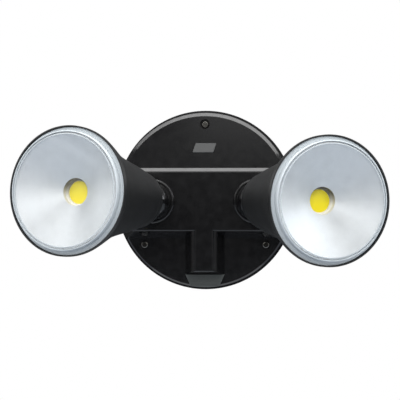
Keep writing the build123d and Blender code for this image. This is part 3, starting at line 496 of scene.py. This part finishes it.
def emitter_radius(side):
    """Radius of a flat emitter, from the height of its box, to which its thickness and its lean add."""
    low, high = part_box(f"{side}_led_emitter")
    lean = abs(head_axis(side)[2])
    return (high[2] - low[2] - EMITTER_T * lean) / 2 / np.sqrt(1 - lean**2)


def reflector_bead(side, radius):
    """Rolled rim of a reflector: a circle of this radius, carried once round the rim under the lens."""
    axis = head_axis(side)
    low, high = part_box(f"{side}_reflector")
    rim_r = (high[2] - low[2]) / 2
    turn = np.linspace(0.0, 2 * np.pi, BEAD_POINTS, endpoint=False)
    out = rim_r - radius + radius * np.cos(turn)
    along = -radius - BEAD_GAP + radius * np.sin(turn)
    lens_back = middle(f"{side}_lens_cover") - axis * LENS_HALF_T
    return lathe(f"{side}_reflector_bead", np.stack([out, along], -1), lens_back, axis, ROUND_LARGE)


def lens_rib(side, half_width):
    """Rib on the face of a lens: half an ellipse, flat side down, carried once round at RIB_R."""
    axis = head_axis(side)
    half_turn = np.linspace(0.0, np.pi, RIB_POINTS)
    out = RIB_R + half_width * np.cos(half_turn)
    along = RIB_GAP + RIB_H * np.sin(half_turn)
    lens_face = middle(f"{side}_lens_cover") + axis * LENS_HALF_T
    return lathe(f"{side}_lens_rib", np.stack([out, along], -1), lens_face, axis, ROUND_LARGE)


def phosphor_dome(side, rise):
    """Cast phosphor: a flat foot and a straight edge, then a crown of rise * (1 - (r / radius) ** 2)."""
    radius = emitter_radius(side)
    across = np.linspace(1.0, 0.0, DOME_POINTS)
    crown = np.stack([radius * across, EMITTER_T / 2 + rise * (1 - across**2)], -1)
    foot = [(0.0, -EMITTER_T / 2), (radius, -EMITTER_T / 2)]
    profile = np.concatenate([foot, crown])
    return lathe(f"{side}_phosphor", profile, middle(f"{side}_led_emitter"), head_axis(side))


def emitter_holder(side):
    """Ring between an emitter and the reflector's neck: a stepped section, carried once round.

    A point's height attribute is how far it is over the emitter's middle, in outer radii.
    """
    outer, inner = NECK_R - HOLDER_GAP, emitter_radius(side) + 2 * HOLDER_GAP
    foot, top = EMITTER_T / 2 + HOLDER_GAP, NECK_TOP - HOLDER_GAP
    section = [
        (inner, foot),
        (outer, foot),
        (outer, top),
        (outer - HOLDER_LIP, top),
        (outer - 2 * HOLDER_LIP, HOLDER_SEAT),
        (inner + HOLDER_LIP, HOLDER_STEP),
    ]
    centre = middle(f"{side}_led_emitter")
    ring = lathe(f"{side}_emitter_holder", section, centre, head_axis(side))
    places = np.empty(len(ring.data.vertices) * 3, dtype=np.float32)
    ring.data.vertices.foreach_get("co", places)
    height = (places[2::3] - centre[2]) / outer
    ring.data.attributes.new("height", "FLOAT", "POINT").data.foreach_set("value", height)
    return ring


def fit_to_head(piece, side, material):
    """Gives a new piece its finish and makes it move with its head."""
    piece.data.materials.append(material)
    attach(piece, f"{side}_head")


def dress(names, material):
    """Gives CAD nodes a finish in place of their plain colour."""
    for name in names:
        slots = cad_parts[name].data.materials
        slots.clear()
        slots.append(material)


def of_heads(*pieces):
    """Node names of these pieces on both heads."""
    return [f"{side}_{piece}" for side in SIDES for piece in pieces]


class FLOODLIGHT_OT_base(bpy.types.Operator):
    """Finishes the base, the knuckles, and the rubber and foam that seal them"""

    bl_idname = "floodlight.base"
    bl_label = "Finish the base"

    def execute(self, context):
        colours = context.scene.floodlight.colours
        # Polished tool: deep black with near-sharp reflections that waver a little over the flat faces
        glossy = moulded(
            "abs_moulded_glossy", colours.base,
            spread=0.12, mottle=18.0, roughness=(0.13, 0.18), grain=6.0, relief=0.004,
        )
        dress(["base_cover"] + of_heads("knuckle"), glossy)
        # Spark-eroded tool: an even, dull grain
        textured = moulded(
            "abs_spark_textured", colours.plate,
            spread=0.15, mottle=9.0, roughness=(0.5, 0.65), grain=0.9, relief=0.05,
        )
        dress(["back_plate"], textured)
        # Closed-cell foam: dull, with the skin's small pits
        foam = moulded(
            "eva_foam_skinned", linear("#2a2a2b"),
            spread=0.2, mottle=3.0, roughness=(0.8, 0.95), grain=1.2, relief=0.2,
        )
        dress(["wall_gasket"], foam)
        # Sprayed paint: a fine, soft sparkle on mid grey
        paint = moulded(
            "aluminium_sprayed_grey", colours.badge,
            spread=0.06, mottle=6.0, roughness=(0.35, 0.45), grain=0.8, relief=0.01,
        )
        dress(["badge_plate"], paint)
        # Softer plastic: greyish, with a waxy sheen
        waxy = moulded(
            "polypropylene_moulded_grey", colours.port,
            spread=0.08, mottle=6.0, roughness=(0.45, 0.6), grain=1.0, relief=0.03,
        )
        dress(["port_cover"], waxy)
        # Rubber pressed in a blasted mould: black and dull
        rubber = moulded(
            "epdm_rubber_pressed", linear("#1a1a1a"),
            spread=0.15, mottle=5.0, roughness=(0.55, 0.7), grain=1.0, relief=0.03,
        )
        dress(["entry_grommet"] + of_heads("knuckle_seal", "lead_gland"), rubber)
        return {"FINISHED"}


class FLOODLIGHT_OT_screws(bpy.types.Operator):
    """Finishes the screws, washers and nuts"""

    bl_idname = "floodlight.screws"
    bl_label = "Finish the screws"

    def execute(self, context):
        # Nickel over steel: bright where it faces a lamp, with fine handling marks
        nickel = plated(
            "steel_nickel_plated", linear("#c2c0ba"), roughness=(0.05, 0.1), grain=1.2, relief=0.004
        )
        fasteners = of_heads("tilt_screws", "sink_screws", "board_screws", "knuckle_washer")
        dress(["driver_screws"] + fasteners, nickel)
        # Black nickel: nearly as dark as the cover, with glints on the cross and the edge
        black_nickel = plated(
            "steel_black_nickel_plated", linear("#86847f"), roughness=(0.05, 0.1), grain=1.2, relief=0.004
        )
        dress(["cover_screws"], black_nickel)
        # Turned brass: warm, with tool marks
        brass = plated("brass_turned", linear("#c9a45a"), roughness=(0.25, 0.4), grain=0.8, relief=0.01)
        dress(["terminal_screws"], brass)
        # Nylon: black with a soft sheen
        nylon = moulded(
            "nylon_moulded_black", linear("#1d1d1d"),
            spread=0.12, mottle=6.0, roughness=(0.45, 0.6), grain=1.0, relief=0.03,
        )
        dress(of_heads("knuckle_nut"), nylon)
        return {"FINISHED"}


class FLOODLIGHT_OT_heads(bpy.types.Operator):
    """Finishes the head shells, heat sinks and leads"""

    bl_idname = "floodlight.heads"
    bl_label = "Finish the heads"

    def execute(self, context):
        colours = context.scene.floodlight.colours
        # Fine satin texture in the tool: broad soft highlights on black
        satin = moulded(
            "abs_satin_textured", colours.shell,
            spread=0.12, mottle=15.0, roughness=(0.34, 0.44), grain=0.8, relief=0.012,
        )
        dress(of_heads("head_shell"), satin)
        # Die-cast surface: pale, with a fine pebbling
        cast = plated(
            "aluminium_die_cast", linear("#c4c6c8"), roughness=(0.4, 0.55), grain=1.4, relief=0.04
        )
        dress(of_heads("heat_sink"), cast)
        # Extruded sleeve: black and slightly rubbery
        sleeve = moulded(
            "silicone_sleeve_black", linear("#1b1b1c"),
            spread=0.12, mottle=6.0, roughness=(0.5, 0.62), grain=1.2, relief=0.02,
        )
        dress(of_heads("head_lead", "driver_lead"), sleeve)
        return {"FINISHED"}


class FLOODLIGHT_OT_optics(bpy.types.Operator):
    """Finishes the reflectors, rings, lenses and gaskets; adds each reflector's bead and lens's rib"""

    bl_idname = "floodlight.optics"
    bl_label = "Finish the optics"

    def execute(self, context):
        colours = context.scene.floodlight.colours
        sizes = context.scene.floodlight.sizes
        # Vapour-coated plastic: silver with a satin blur, faintly uneven over the cone
        silver = plated(
            "polycarbonate_vapour_metallised", colours.silver,
            roughness=(0.46, 0.52), grain=9.0, relief=0.003,
        )
        dress(of_heads("reflector"), silver)
        # Frosted tool: pale and softly lit
        frosted = moulded(
            "polycarbonate_frosted", colours.ring,
            spread=0.03, mottle=6.0, roughness=(0.45, 0.55), grain=1.0, relief=0.004,
        )
        dress(of_heads("lens_ring"), frosted)
        # Silicone rubber: white, smooth, slightly waxy
        silicone = moulded(
            "silicone_white_pressed", colours.silicone,
            spread=0.04, mottle=5.0, roughness=(0.4, 0.5), grain=1.0, relief=0.01,
        )
        dress(of_heads("lens_gasket"), silicone)
        # Polished sheet: see-through, with a faint, sharp mirror image of the room
        dress(of_heads("lens_cover"), clear_polycarbonate())
        # Rolled edge under the same coating, polished by the tool: a fine bright line
        polished = plated(
            "polycarbonate_metallised_polished", colours.edge,
            roughness=(0.12, 0.2), grain=4.0, relief=0.002,
        )
        # The lens's own rib, left frosted by the tool: white where it faces the light
        white = moulded(
            "polycarbonate_frosted_rib", colours.rib,
            spread=0.03, mottle=6.0, roughness=(0.4, 0.5), grain=1.0, relief=0.004,
        )
        for side in SIDES:
            fit_to_head(reflector_bead(side, sizes.bead), side, polished)
            fit_to_head(lens_rib(side, sizes.rib), side, white)
        return {"FINISHED"}


class FLOODLIGHT_OT_emitters(bpy.types.Operator):
    """Casts each light source's domed phosphor, adds its holder and finishes its board"""

    bl_idname = "floodlight.emitters"
    bl_label = "Make the emitters"

    def execute(self, context):
        colours = context.scene.floodlight.colours
        # White solder mask over aluminium: clean and slightly glossy
        mask = moulded(
            "aluminium_white_solder_mask", linear("#e9e9e6"),
            spread=0.04, mottle=4.0, roughness=(0.35, 0.45), grain=0.8, relief=0.01,
        )
        dress(of_heads("led_board"), mask)
        # Phosphor in cast silicone: strong yellow, slightly grainy, with a soft gloss
        yellow = moulded(
            "silicone_cast_phosphor", colours.phosphor,
            spread=0.06, mottle=1.6, roughness=(0.3, 0.42), grain=0.6, relief=0.02, ior=SILICONE_IOR,
        )
        # Nylon close to the light source: creamy white below, with shade painted as a dull brown arc at the
        # top
        nylon = nylon_with_painted_shade(colours.holder, colours.painted_shade)
        for side in SIDES:
            dome = phosphor_dome(side, context.scene.floodlight.sizes.dome)
            fit_to_head(dome, side, yellow)
            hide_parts(f"{side}_led_emitter")
            fit_to_head(emitter_holder(side), side, nylon)
        return {"FINISHED"}


class FLOODLIGHT_OT_driver(bpy.types.Operator):
    """Finishes the driver and the terminals inside the base"""

    bl_idname = "floodlight.driver"
    bl_label = "Finish the driver"

    def execute(self, context):
        # Plain white moulding: clean, with a soft sheen
        white = moulded(
            "polycarbonate_moulded_white", linear("#dcdcd8"),
            spread=0.05, mottle=8.0, roughness=(0.4, 0.5), grain=1.0, relief=0.02,
        )
        dress(["driver_tray", "driver_lid"], white)
        # Coated laminate: green with the weave showing through as mottle
        laminate = moulded(
            "glass_epoxy_coated", linear("#2c6b40"),
            spread=0.15, mottle=3.0, roughness=(0.3, 0.42), grain=0.8, relief=0.01,
        )
        dress(["driver_board"], laminate)
        # Taped winding: yellow film, slightly wrinkled
        tape = moulded(
            "polyester_tape_wound", linear("#c8a233"),
            spread=0.2, mottle=5.0, roughness=(0.4, 0.55), grain=1.2, relief=0.03,
        )
        dress(["driver_transformer"], tape)
        # Shrunk sleeve: tight and glossy
        sleeve = moulded(
            "pvc_shrunk_sleeve", linear("#23305a"),
            spread=0.12, mottle=4.0, roughness=(0.25, 0.35), grain=1.0, relief=0.01,
        )
        dress(["driver_capacitors"], sleeve)
        # Natural nylon: creamy white
        natural = moulded(
            "nylon_moulded_natural", linear("#e2e0d4"),
            spread=0.05, mottle=5.0, roughness=(0.4, 0.5), grain=1.0, relief=0.02,
        )
        dress(["terminal_block"], natural)
        return {"FINISHED"}


def softbox(name, place, target, size, watts, tint, roll=0.0):
    """Rectangular lamp at place, facing target, rolled by so many degrees and hidden from the camera."""
    lamp = bpy.data.lights.new(name, "AREA")
    lamp.shape = "RECTANGLE"
    lamp.size, lamp.size_y = size
    lamp.energy = watts
    lamp.color = linear(tint)
    holder = bpy.data.objects.new(name, lamp)
    bpy.context.scene.collection.objects.link(holder)
    holder.location = place
    facing = (Vector(target) - Vector(place)).to_track_quat("-Z", "Y")
    holder.rotation_euler = (facing @ Quaternion((0.0, 0.0, 1.0), radians(roll))).to_euler()
    holder.visible_camera = False


def white_world():
    """World of a white studio with a dark gap in front.

    What the camera sees is white. A glossy or refracted ray sees a tone that follows Z, times a step into
    the dark gap in front, times one along Y into the unlit room behind, times one below the horizon. A
    diffuse ray sees a fill that rises with Z.
    """
    world = bpy.data.worlds.new("studio")
    bpy.context.scene.world = world
    world.use_nodes = True
    tree = world.node_tree
    tree.nodes.clear()
    rays = add_node(tree, "ShaderNodeLightPath").outputs
    direction = add_node(tree, "ShaderNodeTexCoord").outputs["Generated"]
    parts = add_node(tree, "ShaderNodeSeparateXYZ", {"Vector": direction}).outputs
    facing = add_node(
        tree, "ShaderNodeVectorMath", {0: direction, 1: GAP_DIRECTION}, operation="DOT_PRODUCT"
    )
    front = add_node(
        tree,
        "ShaderNodeMapRange",
        {"Value": facing.outputs["Value"], **FRONT_GAP},
        interpolation_type="SMOOTHSTEP",
    )
    behind = add_node(
        tree, "ShaderNodeMapRange", {"Value": parts["Y"], **BEHIND}, interpolation_type="SMOOTHSTEP"
    )
    tone = add_node(tree, "ShaderNodeMapRange", {"Value": parts["Z"], **ROOM_TONE})
    below = add_node(tree, "ShaderNodeMapRange", {"Value": parts["Z"], **BELOW})
    mirrored = tone.outputs["Result"]
    for step in (front, behind, below):
        mirrored = add_node(
            tree, "ShaderNodeMath", {0: mirrored, 1: step.outputs["Result"]}, operation="MULTIPLY"
        ).outputs[0]
    fill = add_node(tree, "ShaderNodeMapRange", {"Value": parts["Z"], **FILL})
    sharp = add_node(
        tree,
        "ShaderNodeMath",
        {0: rays["Is Glossy Ray"], 1: rays["Is Transmission Ray"]},
        operation="MAXIMUM",
    )
    lit = add_node(
        tree,
        "ShaderNodeMix",
        {MIX_BY: sharp.outputs[0], NUMBER_A: fill.outputs["Result"], NUMBER_B: mirrored},
    )
    seen = add_node(
        tree,
        "ShaderNodeMix",
        {MIX_BY: rays["Is Camera Ray"], NUMBER_A: lit.outputs[NUMBER_OUT], NUMBER_B: 1.0},
    )
    back = add_node(
        tree, "ShaderNodeBackground", {"Color": WHITE, "Strength": seen.outputs[NUMBER_OUT]}
    )
    add_node(tree, "ShaderNodeOutputWorld", {"Surface": back.outputs["Background"]})


def floor_paper():
    """Paper, plain and dull: it takes light as pale grey, and the camera sees it as white."""
    made, tree, _ = start_material("floor_paper_white")
    rays = add_node(tree, "ShaderNodeLightPath").outputs
    paper = add_node(tree, "ShaderNodeBsdfDiffuse", {"Color": rgba(linear("#878c93"))})
    glow = add_node(tree, "ShaderNodeEmission", {"Color": WHITE, "Strength": 1.0})
    lit = add_node(
        tree,
        "ShaderNodeMixShader",
        {0: rays["Is Camera Ray"], 1: paper.outputs[0], 2: glow.outputs[0]},
    )
    add_node(tree, "ShaderNodeOutputMaterial", {"Surface": lit.outputs[0]})
    return made


def pale_floor(drop):
    """Floor that ends a little behind the wall plane: z is constant over a grid of x and y."""
    x, y = np.meshgrid(
        np.linspace(-FLOOR_HALF, FLOOR_HALF, FLOOR_POINTS),
        np.linspace(FLOOR_FRONT, FLOOR_BACK, FLOOR_POINTS),
        indexing="ij",
    )
    points = np.stack([x, y, np.full_like(x, -drop)], -1).reshape(-1, 3)
    index = np.arange(FLOOR_POINTS**2).reshape(FLOOR_POINTS, FLOOR_POINTS)
    quads = np.stack([index[:-1, :-1], index[1:, :-1], index[1:, 1:], index[:-1, 1:]], -1)
    mesh = bpy.data.meshes.new("floor")
    mesh.from_pydata(points.tolist(), [], quads.reshape(-1, 4).tolist())
    mesh.materials.append(floor_paper())
    floor = bpy.data.objects.new("floor", mesh)
    bpy.context.scene.collection.objects.link(floor)


class FLOODLIGHT_OT_stage(bpy.types.Operator):
    """Makes the floor, the lamps, the world and the camera"""

    bl_idname = "floodlight.stage"
    bl_label = "Set the stage"

    def execute(self, context):
        studio = context.scene.floodlight.studio
        context.scene.view_settings.view_transform = "Standard"
        white_world()
        pale_floor(studio.floor_drop)
        for lamp in LAMPS:
            softbox(*lamp)
        camera = bpy.data.objects.new("camera", bpy.data.cameras.new("camera"))
        context.scene.collection.objects.link(camera)
        place = Vector((sin(studio.turn), -cos(studio.turn), 0)) * studio.distance
        camera.location = place
        target = Vector((-studio.aim, 0, 0))
        camera.rotation_euler = (target - place).to_track_quat("-Z", "Y").to_euler()
        camera.data.lens = studio.lens
        camera.data.sensor_width = SENSOR_MM
        context.scene.camera = camera
        return {"FINISHED"}


class FLOODLIGHT_PT_panel(bpy.types.Panel):
    """Colours, sizes, studio and steps of the floodlight"""

    bl_idname = "FLOODLIGHT_PT_panel"
    bl_label = "Floodlight"
    bl_space_type = "VIEW_3D"
    bl_region_type = "UI"
    bl_category = "Floodlight"

    def draw(self, context):
        settings = context.scene.floodlight
        for group in (settings.colours, settings.sizes, settings.studio):
            box = self.layout.box()
            for name in type(group).__annotations__:
                box.prop(group, name)
        for step in STEPS:
            self.layout.operator(step.bl_idname)


STEPS = (
    FLOODLIGHT_OT_base,
    FLOODLIGHT_OT_screws,
    FLOODLIGHT_OT_heads,
    FLOODLIGHT_OT_optics,
    FLOODLIGHT_OT_emitters,
    FLOODLIGHT_OT_driver,
    FLOODLIGHT_OT_stage,
)
GROUPS = (FloodlightColours, FloodlightSizes, FloodlightStudio, FloodlightSettings)
CLASSES = GROUPS + STEPS + (FLOODLIGHT_PT_panel,)


def register():
    """Adds the settings, the operators and the panel."""
    for cls in CLASSES:
        bpy.utils.register_class(cls)
    bpy.types.Scene.floodlight = bpy.props.PointerProperty(type=FloodlightSettings)


def unregister():
    """Takes them out again, in reverse."""
    del bpy.types.Scene.floodlight
    for cls in reversed(CLASSES):
        bpy.utils.unregister_class(cls)


def main():
    """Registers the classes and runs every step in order."""
    register()
    for step in STEPS:
        group, name = step.bl_idname.split(".")
        getattr(getattr(bpy.ops, group), name)()


if __name__ == "__main__":
    main()
